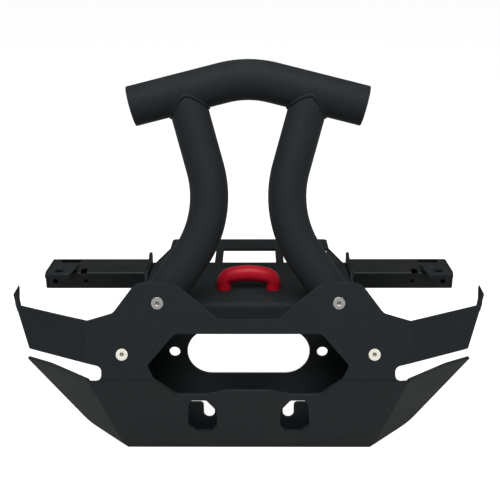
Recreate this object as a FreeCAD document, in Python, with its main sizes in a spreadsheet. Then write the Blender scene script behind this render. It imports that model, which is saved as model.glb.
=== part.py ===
"""Front bumper of an all-terrain vehicle: folded face plate, tube hoop, fairlead tray, side arms and rear frame.

Millimetres, +Z up, +Y towards the vehicle, +X to the right seen from the front. The origin is the centre of
the fairlead bolt pattern, on the front face of the fairlead plate.
"""
import FreeCAD, Part
import math
import os
import Sketcher

doc = FreeCAD.newDocument("front_bumper")
Vector = FreeCAD.Vector

# Driving dimensions: alias, value, what it is. Lengths in millimetres, angles in degrees.
DIMENSIONS = [
    # Sheet and tube stock
    ("sheet", 3.0, "thickness of the folded sheets"),
    ("seat", 0.1, "gap left between pieces that are welded or bolted together"),
    ("leg_tube", 38.0, "outside diameter of the legs"),
    ("bar_tube", 40.0, "outside diameter of the top bar"),
    ("tube_wall", 2.5, "wall of the round tubes"),
    ("cap_plate", 3.0, "thickness of the end caps"),
    # Angles of the face
    ("lean", 19.5, "lean of the face plate and hoop back from the vertical"),
    ("rake", 62.0, "slope of the skid below the horizontal"),
    ("sweep", 20.0, "sweep of the wings back from the face plate"),
    ("facet_sweep", 26.0, "sweep of the skid's side facets"),
    ("fold_radius", 4.0, "outer radius of the folds in the face plate"),
    # Fairlead plate and tray
    ("tray_width", 220.0, "width of the fairlead plate and tray"),
    ("tray_top", 54.5, "height of the tray's top face above the fairlead centre"),
    ("tray_rear", 118.0, "depth of the tray behind the fairlead plate's front face"),
    ("tray_bend", 6.0, "outer radius of the bend between fairlead plate and tray"),
    ("fairlead_drop", 54.0, "fairlead plate below the fairlead centre"),
    ("fairlead_span", 152.4, "distance between the two fairlead bolts"),
    ("fairlead_hole", 11.0, "diameter of the fairlead bolt holes"),
    ("opening_width", 126.0, "width of the round-ended fairlead opening"),
    ("opening_height", 50.0, "height of the fairlead opening"),
    # Upper face plate, measured up its slope from the main fold
    ("notch_half", 28.5, "half width of the notch's flat bottom"),
    ("notch_floor", 59.4, "height of the notch's bottom"),
    ("ear_inner", 71.0, "inner corner of an ear"),
    ("ear_top", 94.8, "top of the ears"),
    ("ear_outer", 108.5, "outer corner of an ear"),
    ("shoulder_x", 130.8, "foot of the ear's outer side, sideways"),
    ("shoulder_up", 65.3, "foot of the ear's outer side, height"),
    ("wing_root", 157.5, "wing fold, sideways at its top"),
    ("wing_root_up", 57.5, "wing fold, height of its top"),
    ("wing_root_low", 156.0, "wing fold, sideways at its bottom"),
    ("wing_root_foot", 16.5, "wing fold, height of its bottom"),
    ("ear_round_in", 8.0, "rounding of the ear's inner corner"),
    ("ear_round_out", 13.0, "rounding of the ear's outer corner"),
    # Wing, measured from the foot of its fold
    ("wing_top", 77.0, "length of the wing along its upper edge"),
    ("wing_bottom", 63.5, "length of the wing along its lower edge"),
    ("wing_rise", 0.213, "rise of the wing's edges for each millimetre outwards"),
    ("return_foot", 3.6, "depth of the bent-back edge at its foot"),
    ("fin_setback", 2.6, "fin's front edge behind the line of the fold"),
    ("return_neck", 7.4, "depth of the bent-back edge at the wing's top"),
    ("fin_depth", 20.0, "depth of the fin above the wing's end"),
    ("fin_front", 12.8, "fin's front corner above the wing"),
    ("fin_peak", 28.0, "fin's rear corner above the wing"),
    ("fin_heel", 23.0, "foot of the fin's rear edge above the wing"),
    ("fin_hollow", 7.0, "start of the fin's slanting rear side above the wing"),
    # Side slot between wing and skid
    ("slot_end", 141.8, "closed end of the side slot"),
    ("slot_height", 13.2, "height of the side slot at its closed end"),
    ("slot_round", 6.0, "rounding of the side slot's closed end"),
    ("slot_dip", 0.4, "side slot's lower edge below the main fold"),
    # Cut-out in front of the fairlead
    ("cut_top", 45.0, "cut-out's top edge, above the main fold"),
    ("cut_top_half", 71.0, "half width of the cut-out's top edge"),
    ("cut_side", 97.5, "cut-out's side corner, sideways"),
    ("cut_side_up", 14.5, "cut-out's side corner, above the main fold"),
    ("cut_fold_half", 90.3, "half width of the cut-out at the main fold"),
    ("cut_low_half", 70.0, "half width of the cut-out's lower corner"),
    ("cut_low", 26.5, "cut-out's lower edge, below the main fold"),
    ("cut_arch_half", 42.0, "half width of the rise in the cut-out's lower edge"),
    ("cut_arch", 7.4, "height of the rise in the cut-out's lower edge"),
    ("arch_round", 16.0, "rounding of the rise in the cut-out's lower edge"),
    # Skid, measured down its slope from the main fold
    ("skid_length", 129.5, "length of the skid"),
    ("facet_root", 155.0, "facet fold, sideways at its top"),
    ("facet_taper", 21.0, "foot of the facet fold, inwards from its top"),
    ("facet_lift", 5.5, "foot of the facet fold above the skid's bottom edge"),
    ("skid_cut", 3.5, "end of the skid's bottom edge, inwards from the foot of the facet fold"),
    ("facet_tip", 71.4, "facet's tip, out from its fold"),
    ("facet_tip_rise", 3.1, "facet's tip above the top of its fold"),
    ("facet_knee", 37.0, "facet's lower corner, out from its fold"),
    ("facet_knee_down", 99.8, "facet's lower corner, down its fold"),
    ("facet_crest", 42.8, "crest of the facet's upper edge, out from its fold"),
    ("facet_crest_rise", 6.2, "crest above the top of the facet fold"),
    ("facet_round", 32.0, "rounding of the facet's crest and lower corner"),
    ("aperture_in", 32.6, "aperture's inner side"),
    ("aperture_out", 63.0, "aperture's outer side"),
    ("aperture_top", 36.0, "aperture's top edge, down the skid"),
    ("aperture_bottom", 96.5, "aperture's bottom edge, down the skid"),
    ("aperture_lean", 3.2, "lean of the aperture's outer side"),
    ("aperture_round", 2.0, "rounding of the aperture's corners"),
    ("aperture_shoulder", 19.0, "height of the aperture's upper inner side"),
    ("aperture_chin", 13.5, "height of the aperture's lower slanting sides"),
    # Screws, bosses
    ("screw_upper_x", 87.7, "upper screws, sideways"),
    ("screw_upper_up", 74.8, "upper screws, above the main fold"),
    ("screw_lower_x", 121.9, "lower screws, sideways"),
    ("screw_lower_up", 25.2, "lower screws, above the main fold"),
    ("screw_head", 11.8, "diameter of the screw heads"),
    ("screw_shank", 6.0, "diameter of the screw shanks"),
    ("screw_length", 16.0, "length of the screws with their heads"),
    ("screw_socket", 4.0, "hexagon socket across its flats"),
    ("socket_depth", 2.4, "depth of the hexagon socket"),
    ("screw_chamfer", 0.5, "chamfer at the ends of the screw shanks"),
    ("boss_diameter", 12.0, "diameter of the threaded bosses"),
    ("boss_length", 10.0, "length of the threaded bosses"),
    # Hoop, measured in its own plane
    ("bar_end_x", 116.0, "top bar's end, sideways"),
    ("bar_end_up", 268.0, "top bar's end, height"),
    ("bar_apex_up", 297.5, "where the top bar's two straight lines meet"),
    ("bar_bend", 100.0, "bend radius of the top bar"),
    ("leg_waist_x", 29.3, "where a leg's two straight lines meet, sideways"),
    ("leg_bend", 105.0, "bend radius of the legs"),
    ("leg_splay", 15.5, "splay of a leg's upper part from the vertical"),
    ("leg_tail", 13.0, "leg past the lower screw"),
    # Arms
    ("arm_depth", 43.0, "depth of the arm's tube"),
    ("arm_height", 20.0, "height of the arm's tube"),
    ("arm_wall", 2.0, "wall of the arm's tube"),
    ("arm_corner", 3.0, "outer corner radius of the arm's tube"),
    ("arm_corner_inner", 1.5, "inner corner radius of the arm's tube"),
    ("arm_front", 73.0, "arm's front face behind the fairlead plate"),
    ("arm_top", 60.0, "arm's top face above the fairlead centre"),
    ("arm_tip", 223.3, "arm's outer end with its cap"),
    ("arm_hole", 5.0, "diameter of the arm's front holes"),
    ("arm_hole_out", 212.4, "outer front hole, sideways"),
    ("arm_hole_in", 178.8, "inner front hole, sideways"),
    ("arm_hole_drop", 11.0, "front holes below the arm's top"),
    ("slot_length", 22.6, "length of the slot in the arm's top"),
    ("slot_width", 11.0, "width of the slot in the arm's top"),
    ("slot_middle", 201.5, "slot in the arm's top, sideways"),
    ("slot_margin", 7.6, "slot's centre line in front of the arm's rear face"),
    ("notch_inner", 178.0, "inner side of the notch in the arm's top"),
    ("notch_width", 6.5, "width of the notch in the arm's top"),
    ("notch_depth", 12.0, "depth of the notch from the arm's front face"),
    # Raised tabs on the arms
    ("tab_lift", 6.0, "tab's top above the arm's top"),
    ("tab_plate", 3.0, "thickness of the tab"),
    ("tab_inner", 187.0, "tab's inner rear corner, sideways"),
    ("tab_width", 26.5, "width of the tab"),
    ("tab_skew", 4.3, "tab's front edge further out than its rear edge"),
    ("tab_reach", 34.0, "tab from its rear to its front edge"),
    ("tab_overlap", 12.0, "tab's rear edge behind the arm's front face"),
    ("tab_lip", 4.6, "height of the tab's front lip"),
    ("tab_hole", 10.5, "diameter of the tab's hole"),
    ("tab_hole_x", 204.0, "tab's hole, sideways"),
    ("tab_hole_front", 10.0, "tab's hole in front of the arm's front face"),
    # Tow loop
    ("loop_bar", 15.6, "diameter of the tow loop's bar"),
    ("loop_span", 52.0, "distance between the tow loop's feet"),
    ("loop_height", 17.8, "tow loop's centre line above the tray"),
    ("loop_corner", 10.0, "radius of the tow loop's corners, at the centre line"),
    ("loop_bow", 70.0, "radius of the tow loop's top, at the centre line"),
    ("loop_slope", 13.0, "slope of the tow loop's top beside its middle"),
    ("loop_back", 40.0, "tow loop behind the fairlead plate"),
    # Side plates and lower brace
    ("side_tip", 68.0, "side plate's ear above the fairlead centre"),
    ("side_rear", 92.0, "side plate's foot behind the fairlead plate"),
    ("side_ear", 11.0, "width of the side plate's ear"),
    ("side_shelf", 6.0, "side plate's front corner below the main fold"),
    ("side_heel", 38.0, "height where the side plate's rear edge starts to slant"),
    ("side_round", 16.0, "rounding where the side plate's rear edge starts to slant"),
    ("frame_hole", 10.5, "diameter of the frame bolt holes"),
    ("frame_hole_back", 76.0, "frame bolts behind the fairlead plate"),
    ("frame_hole_rise", 22.0, "lower frame bolt above the skid's bottom"),
    ("frame_hole_pitch", 50.0, "distance between the two frame bolts"),
    ("brace_height", 55.1, "lower brace's top edge above the skid's bottom edge"),
    ("notch_round", 5.6, "rounding of the bottoms of the U-shaped notches"),
    ("brace_notch", 11.5, "width of the U-shaped notches"),
    ("brace_notch_x", 41.9, "U-shaped notches, sideways"),
    ("brace_notch_depth", 18.1, "depth of the U-shaped notches"),
    # Rear frame
    ("rear_plate", 4.0, "thickness of the cross bar and struts"),
    ("rear_front", 174.4, "front edge of the cross bar"),
    ("rear_depth", 34.0, "depth of the cross bar"),
    ("rear_inset", 14.0, "end of the cross bar, inwards from the tray's side"),
    ("rear_round", 5.0, "rounding of the cross bar's corners"),
    ("strut_inner", 31.0, "inner side of a strut"),
    ("strut_width", 9.0, "width of a strut"),
    ("strut_lap", 18.0, "strut's lap under the tray"),
    ("edge_plate", 3.0, "thickness of the diagonal braces"),
    ("edge_height", 22.0, "height of the diagonal braces"),
    ("edge_foot", 12.0, "length of the diagonal braces' feet on the side plates"),
]

sheet_cells = doc.addObject("Spreadsheet::Sheet", "Sizes")
for row, (alias, value, meaning) in enumerate(DIMENSIONS, start=1):
    sheet_cells.set("A%d" % row, meaning)
    sheet_cells.set("B%d" % row, str(value))
    sheet_cells.setAlias("B%d" % row, alias)
doc.recompute()


class Size:
    """A length or angle worked out from the sheet: its value, and the expression that ties it to the sheet."""

    def __init__(self, value, text):
        self.value = value
        self.text = text

    def __add__(self, other):
        other = as_size(other)
        return Size(self.value + other.value, "(%s + %s)" % (self.text, other.text))

    def __radd__(self, other):
        return as_size(other) + self

    def __sub__(self, other):
        other = as_size(other)
        return Size(self.value - other.value, "(%s - %s)" % (self.text, other.text))

    def __rsub__(self, other):
        return as_size(other) - self

    def __mul__(self, other):
        other = as_size(other)
        return Size(self.value * other.value, "(%s * %s)" % (self.text, other.text))

    def __rmul__(self, other):
        return as_size(other) * self

    def __truediv__(self, other):
        other = as_size(other)
        return Size(self.value / other.value, "(%s / %s)" % (self.text, other.text))

    def __neg__(self):
        return Size(-self.value, "(-1 * %s)" % self.text)

    def __float__(self):
        return float(self.value)


def as_size(value):
    """A plain number is a size too: its expression is the number itself."""
    return value if isinstance(value, Size) else Size(float(value), "%.9g" % float(value))


def sine(angle):
    return Size(math.sin(math.radians(angle.value)), "sin(%s * 1 deg)" % angle.text)


def cosine(angle):
    return Size(math.cos(math.radians(angle.value)), "cos(%s * 1 deg)" % angle.text)


class Sizes:
    """Every alias of the sheet as an attribute."""


s = Sizes()
for alias, value, meaning in DIMENSIONS:
    setattr(s, alias, Size(float(sheet_cells.get(alias)), "Sizes." + alias))

# Sizes that follow from the driving ones
cut_through = s.sheet * 2
leg_radius = s.leg_tube / 2
bar_radius = s.bar_tube / 2
tray_half = s.tray_width / 2
side_inner = tray_half + s.seat
side_outer = side_inner + s.sheet
bend_back = s.sheet + s.leg_tube + 2 * s.seat + s.tray_bend * (1 - cosine(s.lean))
fold_back = (bend_back + (s.tray_top - s.tray_bend) * sine(s.lean)) / cosine(s.lean)
foot_level = -s.skid_length * sine(s.rake)


def vector(x, y, z):
    return Vector(float(x), float(y), float(z))


def plane(origin, across, up):
    """Placement of a drawing plane: its first axis, its second axis, and its normal towards the viewer."""
    across = Vector(across).normalize()
    normal = across.cross(up).normalize()
    return FreeCAD.Placement(origin, FreeCAD.Rotation(across, normal.cross(across), normal, "ZXY"))


# Drawing planes of the folded face
ACROSS = Vector(1, 0, 0)
BACK = Vector(0, 1, 0)
UPWARD = Vector(0, 0, 1)
main_fold = vector(0, -fold_back, 0)
face_up = vector(0, sine(s.lean), cosine(s.lean))
skid_up = vector(0, -cosine(s.rake), sine(s.rake))
face_plane = plane(main_fold, ACROSS, face_up)
skid_plane = plane(main_fold, ACROSS, skid_up)


def behind(frame, distance):
    """The same drawing plane, moved back along its normal."""
    return frame * FreeCAD.Placement(vector(0, 0, -distance), FreeCAD.Rotation())


hoop_plane = behind(face_plane, s.sheet + s.seat + leg_radius)


def folded_plane(frame, foot, head, bend):
    """Drawing plane of a panel folded back about the line from foot to head, with its origin at foot.

    Its second axis runs up the fold, its first axis outwards from the fold.
    """
    foot_point = frame.multVec(vector(foot[0], foot[1], 0))
    head_point = frame.multVec(vector(head[0], head[1], 0))
    up = (head_point - foot_point).normalize()
    normal = frame.Rotation.multVec(UPWARD)
    outwards = up.cross(normal)
    turned = outwards * float(cosine(bend)) - normal * float(sine(bend))
    return plane(foot_point, turned, up)


def new_body(label):
    body = doc.addObject("PartDesign::Body", label)
    body.Label = label
    return body


def origin_plane(body, role):
    return next(item for item in body.Origin.OriginFeatures if item.Role == role)


def attach(item, body, frame):
    """Attach a sketch or primitive to its body's ground plane, moved and turned to the drawing plane."""
    item.AttachmentSupport = (origin_plane(body, "XY_Plane"), [""])
    item.MapMode = "FlatFace"
    item.AttachmentOffset = frame


def new_sketch(body, name, frame):
    sketch = body.newObject("Sketcher::SketchObject", name)
    attach(sketch, body, frame)
    return sketch


def tie(item, path, size):
    """Set a property's expression, where the size depends on the sheet."""
    if "Sizes." in size.text:
        item.setExpression(path, size.text)


def constrain(sketch, rows):
    """Add constraints in one go. A row is (kind, references, size or None)."""
    made = []
    for kind, references, size in rows:
        numbers = list(references)
        if size is not None:
            numbers.append(size.value)
        made.append(Sketcher.Constraint(kind, *numbers))
    indices = sketch.addConstraint(made)
    for index, (kind, references, size) in zip(indices, rows):
        if size is not None:
            tie(sketch, "Constraints[%d]" % index, size)


def fixed_point(geometry, place, x, y):
    """Rows that hold a point at x, y, measured from the sketch's origin."""
    rows = []
    for kind, axis, size in (("DistanceX", -2, as_size(x)), ("DistanceY", -1, as_size(y))):
        if size.value == 0:
            rows.append(("PointOnObject", (geometry, place, axis), None))
        elif size.value < 0:
            rows.append((kind, (geometry, place, -1, 1), -size))
        else:
            rows.append((kind, (-1, 1, geometry, place), size))
    return rows


def corner_arc(before, corner, after, radius):
    """Arc that rounds a corner, with its two tangent points, in the order of the outline."""
    towards_before = (before - corner).normalize()
    towards_after = (after - corner).normalize()
    half = towards_before.getAngle(towards_after) / 2
    reach = radius / math.tan(half)
    start = corner + towards_before * reach
    end = corner + towards_after * reach
    centre = corner + (towards_before + towards_after).normalize() * (radius / math.sin(half))
    turn = (corner - before).cross(after - corner).z
    first = math.atan2(start.y - centre.y, start.x - centre.x)
    last = math.atan2(end.y - centre.y, end.x - centre.x)
    circle = Part.Circle(centre, UPWARD, radius)
    if turn > 0:
        return start, end, Part.ArcOfCircle(circle, first, last), (1, 2)
    return start, end, Part.ArcOfCircle(circle, last, first), (2, 1)


def outline(sketch, points, closed=True):
    """Draw straight edges through the points. A point is (x, y) or (x, y, rounding radius)."""
    count = len(points)
    corners = [vector(point[0], point[1], 0) for point in points]
    arcs = {}
    for number, point in enumerate(points):
        if len(point) == 3:
            before = corners[number - 1]
            after = corners[(number + 1) % count]
            arcs[number] = corner_arc(before, corners[number], after, float(point[2]))
    rows = []
    lines = {}
    for number in range(count if closed else count - 1):
        following = (number + 1) % count
        start = arcs[number][1] if number in arcs else corners[number]
        end = arcs[following][0] if following in arcs else corners[following]
        lines[number] = sketch.addGeometry(Part.LineSegment(start, end), False)
    for number, point in enumerate(points):
        entering = lines.get((number - 1) % count)
        leaving = lines.get(number)
        if number not in arcs:
            if leaving is not None:
                rows += fixed_point(leaving, 1, point[0], point[1])
                if entering is not None:
                    rows.append(("Coincident", (entering, 2, leaving, 1), None))
            else:
                rows += fixed_point(entering, 2, point[0], point[1])
            continue
        arc_start, arc_end = arcs[number][3]
        arc = sketch.addGeometry(arcs[number][2], False)
        mark = sketch.addGeometry(Part.Point(corners[number]), True)
        rows += fixed_point(mark, 1, point[0], point[1])
        rows.append(("PointOnObject", (mark, 1, entering), None))
        rows.append(("PointOnObject", (mark, 1, leaving), None))
        rows.append(("Tangent", (entering, 2, arc, arc_start), None))
        rows.append(("Tangent", (arc, arc_end, leaving, 1), None))
        rows.append(("Radius", (arc,), as_size(point[2])))
    constrain(sketch, rows)


def circle(sketch, x, y, radius):
    centre = vector(x, y, 0)
    ring = sketch.addGeometry(Part.Circle(centre, UPWARD, float(radius)), False)
    constrain(sketch, fixed_point(ring, 3, x, y) + [("Radius", (ring,), as_size(radius))])


def oblong(sketch, x, y, length, width):
    """A round-ended hole with its length along the sketch's first axis."""
    radius = width / 2
    reach = (length - width) / 2
    quarter = math.pi / 2
    right = vector(x + reach, y, 0)
    left = vector(x - reach, y, 0)
    drop = vector(0, radius, 0)
    right_circle = Part.Circle(right, UPWARD, float(radius))
    left_circle = Part.Circle(left, UPWARD, float(radius))
    right_end = sketch.addGeometry(Part.ArcOfCircle(right_circle, -quarter, quarter))
    left_end = sketch.addGeometry(Part.ArcOfCircle(left_circle, quarter, 3 * quarter))
    lower = sketch.addGeometry(Part.LineSegment(left - drop, right - drop))
    upper = sketch.addGeometry(Part.LineSegment(right + drop, left + drop))
    rows = fixed_point(right_end, 3, x + reach, y) + fixed_point(left_end, 3, x - reach, y)
    rows += [
        ("Tangent", (lower, 2, right_end, 1), None),
        ("Tangent", (right_end, 2, upper, 1), None),
        ("Tangent", (upper, 2, left_end, 1), None),
        ("Tangent", (left_end, 2, lower, 1), None),
        ("Equal", (right_end, left_end), None),
        ("Radius", (right_end,), as_size(radius)),
    ]
    constrain(sketch, rows)


def both_sides(points):
    """A whole outline from its right half: the points in order, then their mirror images in reverse."""
    mirrored = [(-point[0],) + tuple(point[1:]) for point in reversed(points)]
    return list(points) + mirrored


def pad(body, sketch, length, backwards=False):
    """Raise a sketch along its normal, or backwards from it."""
    solid = body.newObject("PartDesign::Pad", sketch.Name + "Pad")
    solid.Profile = (sketch, [""])
    solid.Length = float(length)
    tie(solid, "Length", as_size(length))
    solid.Reversed = backwards
    body.Tip = solid
    return solid


def pocket(body, sketch, depth, forwards=False):
    """Cut a sketch out of its body, down from the drawing plane, or forwards along its normal."""
    cut = body.newObject("PartDesign::Pocket", sketch.Name + "Pocket")
    cut.Profile = (sketch, [""])
    cut.Length = float(depth)
    tie(cut, "Length", as_size(depth))
    cut.Reversed = forwards
    body.Tip = cut
    return cut


def bore(body, name, frame, radius, depth):
    """Cut a round hole along the drawing plane's normal."""
    tool = body.newObject("PartDesign::SubtractiveCylinder", name)
    attach(tool, body, frame)
    tool.Radius = float(radius)
    tool.Height = float(depth)
    tie(tool, "Radius", as_size(radius))
    tie(tool, "Height", as_size(depth))
    body.Tip = tool
    return tool


def fillet(body, base, points, radius):
    """Round the edges that pass nearest to the given points."""
    doc.recompute()
    edges = base.Shape.Edges
    names = []
    for point in points:
        distances = [edge.distToShape(Part.Vertex(point))[0] for edge in edges]
        names.append("Edge%d" % (distances.index(min(distances)) + 1))
    rounding = body.newObject("PartDesign::Fillet", base.Name + "Fillet")
    rounding.Base = (base, names)
    rounding.Radius = float(radius)
    tie(rounding, "Radius", as_size(radius))
    body.Tip = rounding
    return rounding


def pipe(body, name, frame, route, radius, wall=None):
    """Run a round bar or tube along a route drawn in the plane. Its first stretch is straight."""
    path = new_sketch(body, name + "Route", frame)
    outline(path, route, closed=False)
    start = frame.multVec(vector(route[0][0], route[0][1], 0))
    towards = frame.multVec(vector(route[1][0], route[1][1], 0))
    normal = frame.Rotation.multVec(UPWARD)
    along = (towards - start).normalize()
    section = new_sketch(body, name + "Section", plane(start, normal, along.cross(normal)))
    circle(section, 0, 0, radius)
    if wall is not None:
        circle(section, 0, 0, radius - wall)
    doc.recompute()
    run = body.newObject("PartDesign::AdditivePipe", name)
    run.Profile = (section, [""])
    run.Spine = (path, ["Edge%d" % number for number in range(1, len(path.Shape.Edges) + 1)])
    body.Tip = run
    return run


def mirror_image(source, label):
    """The piece on the other side of the vehicle's middle plane."""
    image = doc.addObject("Part::Mirroring", label)
    image.Label = label
    image.Source = source
    image.Normal = ACROSS
    return image


# Face plate: upper plate, skid, wings, facets and bent-back wing ends, folded from one sheet
wing_foot = (s.wing_root_low, s.wing_root_foot)
wing_head = (s.wing_root, s.wing_root_up)
facet_foot = (s.facet_root - s.facet_taper, s.facet_lift - s.skid_length)
facet_head = (s.facet_root, as_size(0))
screw_places = {
    "upper": (s.screw_upper_x, s.screw_upper_up),
    "lower": (s.screw_lower_x, s.screw_lower_up),
}


def length_between(first, second):
    """Distance between two points of a drawing plane, as a size."""
    along = second[0] - first[0]
    up = second[1] - first[1]
    value = math.hypot(along.value, up.value)
    return Size(value, "sqrt(%s ^ 2 + %s ^ 2)" % (along.text, up.text))


def make_face_plate():
    body = new_body("face_plate")
    upper = new_sketch(body, "UpperPlate", face_plane)
    outline(upper, both_sides([
        (s.notch_half, s.notch_floor),
        (s.ear_inner, s.ear_top, s.ear_round_in),
        (s.ear_outer, s.ear_top, s.ear_round_out),
        (s.shoulder_x, s.shoulder_up, s.ear_round_in),
        wing_head,
        wing_foot,
        facet_head,
        (s.cut_fold_half, as_size(0)),
        (s.cut_side, s.cut_side_up, s.fold_radius),
        (s.cut_top_half, s.cut_top, s.ear_round_in),
    ]))
    pad(body, upper, s.sheet, backwards=True)
    skid = new_sketch(body, "Skid", skid_plane)
    arch_top = -(s.cut_low - s.cut_arch)
    outline(skid, both_sides([
        (s.cut_arch_half / 2, arch_top, s.arch_round),
        (s.cut_arch_half, -s.cut_low, s.arch_round),
        (s.cut_low_half, -s.cut_low, s.ear_round_in),
        (s.cut_fold_half, as_size(0)),
        facet_head,
        facet_foot,
        (facet_foot[0] - s.skid_cut, -s.skid_length),
    ]))
    joined = pad(body, skid, s.sheet, backwards=True)
    fold_middle = (s.cut_fold_half.value + s.facet_root.value) / 2
    fold_points = [face_plane.multVec(vector(side * fold_middle, 0, 0)) for side in (1, -1)]
    fillet(body, joined, fold_points, s.fold_radius)

    apertures = new_sketch(body, "Apertures", skid_plane)
    narrow_cut = s.aperture_lean * 2
    wide_cut = s.aperture_lean * 3
    for side in (1, -1):
        outline(apertures, [
            (side * (s.aperture_in + wide_cut), -s.aperture_top, s.aperture_round),
            (side * s.aperture_in, -(s.aperture_top + s.aperture_shoulder)),
            (side * s.aperture_in, -(s.aperture_bottom - s.aperture_chin)),
            (side * (s.aperture_in + narrow_cut), -s.aperture_bottom, s.aperture_round),
            (side * (s.aperture_out - wide_cut), -s.aperture_bottom, s.aperture_round),
            (side * s.aperture_out, -(s.aperture_bottom - s.aperture_chin)),
            (side * (s.aperture_out - s.aperture_lean), -(s.aperture_top + narrow_cut)),
            (side * (s.aperture_out - narrow_cut), -s.aperture_top, s.aperture_round),
        ])
    pocket(body, apertures, cut_through)

    slots = new_sketch(body, "SideSlots", face_plane)
    past_fold = s.wing_root + s.sheet * 2
    for side in (1, -1):
        outline(slots, [
            (side * s.slot_end, s.slot_height, s.slot_round),
            (side * wing_foot[0], wing_foot[1]),
            (side * past_fold, wing_foot[1] - s.sheet),
            (side * past_fold, -s.slot_dip),
            (side * s.slot_end, -s.slot_dip, s.slot_round),
        ])
    pocket(body, slots, cut_through)

    wing_plane = folded_plane(face_plane, wing_foot, wing_head, s.sweep)
    root_length = length_between(wing_foot, wing_head)
    tip_low = (s.wing_bottom, s.wing_rise * s.wing_bottom)
    tip_high = (s.wing_top, root_length + s.wing_rise * s.wing_top)
    wing = new_sketch(body, "Wing", wing_plane)
    outline(wing, [(as_size(0), as_size(0)), tip_low, tip_high, (as_size(0), root_length)])
    wing_pad = pad(body, wing, s.sheet, backwards=True)

    facet_plane = folded_plane(skid_plane, facet_foot, facet_head, s.facet_sweep)
    facet_length = length_between(facet_foot, facet_head)
    facet = new_sketch(body, "Facet", facet_plane)
    outline(facet, [
        (as_size(0), as_size(0)),
        (s.facet_knee, facet_length - s.facet_knee_down, s.facet_round),
        (s.facet_tip, facet_length + s.facet_tip_rise, s.sheet / 2),
        (s.facet_crest, facet_length + s.facet_crest_rise, s.facet_round),
        (as_size(0), facet_length),
    ])
    facet_pad = pad(body, facet, s.sheet, backwards=True)

    low_point = wing_plane.multVec(vector(tip_low[0], tip_low[1], 0))
    high_point = wing_plane.multVec(vector(tip_high[0], tip_high[1], 0))
    end_up = (high_point - low_point).normalize()
    end_plane = plane(high_point, (BACK - end_up * BACK.dot(end_up)).normalize(), end_up)
    end_length = length_between(tip_low, tip_high)
    wing_end = new_sketch(body, "WingEnd", end_plane)
    outline(wing_end, [
        (as_size(0), -end_length),
        (s.return_foot, -end_length),
        (s.return_neck, as_size(0)),
        (as_size(0), as_size(0)),
    ])
    end_pad = pad(body, wing_end, s.sheet, backwards=True)

    other_side = body.newObject("PartDesign::Mirrored", "OtherSide")
    other_side.Originals = [wing_pad, facet_pad, end_pad]
    other_side.MirrorPlane = (origin_plane(body, "YZ_Plane"), [""])
    body.Tip = other_side
    doc.recompute()

    def on_both(point):
        return [point, Vector(-point.x, point.y, point.z)]

    folds = on_both(wing_plane.multVec(vector(0, root_length / 2, 0)))
    folds += on_both(facet_plane.multVec(vector(0, facet_length / 2, 0)))
    folds += on_both((low_point + high_point) / 2)
    fillet(body, other_side, folds, s.fold_radius)

    fin = new_sketch(body, "Fin", end_plane)
    outline(fin, [
        (s.fin_setback, -s.fin_hollow),
        (s.return_neck - s.seat, -s.fin_hollow),
        (s.return_neck + s.sheet, s.fin_hollow, s.ear_round_in),
        (s.fin_depth, s.fin_heel),
        (s.fin_depth, s.fin_peak, s.sheet / 2),
        (s.fin_setback, s.fin_front, s.sheet / 2),
    ])
    fin_pad = pad(body, fin, s.sheet, backwards=True)
    other_fin = body.newObject("PartDesign::Mirrored", "OtherFin")
    other_fin.Originals = [fin_pad]
    other_fin.MirrorPlane = (origin_plane(body, "YZ_Plane"), [""])
    body.Tip = other_fin
    doc.recompute()

    screw_marks = new_sketch(body, "ScrewMarks", face_plane)
    for x, up in screw_places.values():
        for side in (1, -1):
            circle(screw_marks, side * x, up, s.screw_shank / 2 + s.seat)
    countersinks = body.newObject("PartDesign::Hole", "Countersinks")
    countersinks.Profile = (screw_marks, [""])
    doc.recompute()
    countersinks.ThreadType = "None"
    countersinks.Diameter = float(s.screw_shank + 2 * s.seat)
    countersinks.DepthType = "Dimension"
    countersinks.Depth = float(cut_through)
    countersinks.HoleCutType = "Countersink"
    countersinks.HoleCutDiameter = float(s.screw_head + 2 * s.seat)
    countersinks.HoleCutCountersinkAngle = 90
    tie(countersinks, "Diameter", s.screw_shank + 2 * s.seat)
    tie(countersinks, "Depth", cut_through)
    tie(countersinks, "HoleCutDiameter", s.screw_head + 2 * s.seat)
    body.Tip = countersinks
    return body


SIDE_FRAME = plane(Vector(0, 0, 0), BACK, UPWARD)
FRONT_FRAME = plane(Vector(0, 0, 0), ACROSS, UPWARD)


def facing(origin, direction):
    """Drawing plane at a point, with its normal along a direction."""
    return FreeCAD.Placement(origin, FreeCAD.Rotation(UPWARD, direction))


def side_frame(x):
    """Drawing plane seen from the right: first axis backwards, second axis up, normal to the right."""
    return FreeCAD.Placement(vector(x, 0, 0), SIDE_FRAME.Rotation)


def level_frame(z):
    return FreeCAD.Placement(vector(0, 0, z), FreeCAD.Rotation())


# Fairlead plate and tray: one sheet, bent along the tray's front edge
def make_fairlead_tray():
    body = new_body("fairlead_tray")
    inner_bend = s.tray_bend - s.sheet
    profile = new_sketch(body, "TrayProfile", side_frame(-tray_half))
    outline(profile, [
        (as_size(0), -s.fairlead_drop),
        (s.sheet, -s.fairlead_drop),
        (s.sheet, s.tray_top - s.sheet, inner_bend),
        (s.tray_rear, s.tray_top - s.sheet),
        (s.tray_rear, s.tray_top),
        (as_size(0), s.tray_top, s.tray_bend),
    ])
    pad(body, profile, s.tray_width)
    holes = new_sketch(body, "FairleadHoles", FRONT_FRAME)
    oblong(holes, as_size(0), as_size(0), s.opening_width, s.opening_height)
    for side in (1, -1):
        circle(holes, side * s.fairlead_span / 2, as_size(0), s.fairlead_hole / 2)
    pocket(body, holes, cut_through)
    return body


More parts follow.
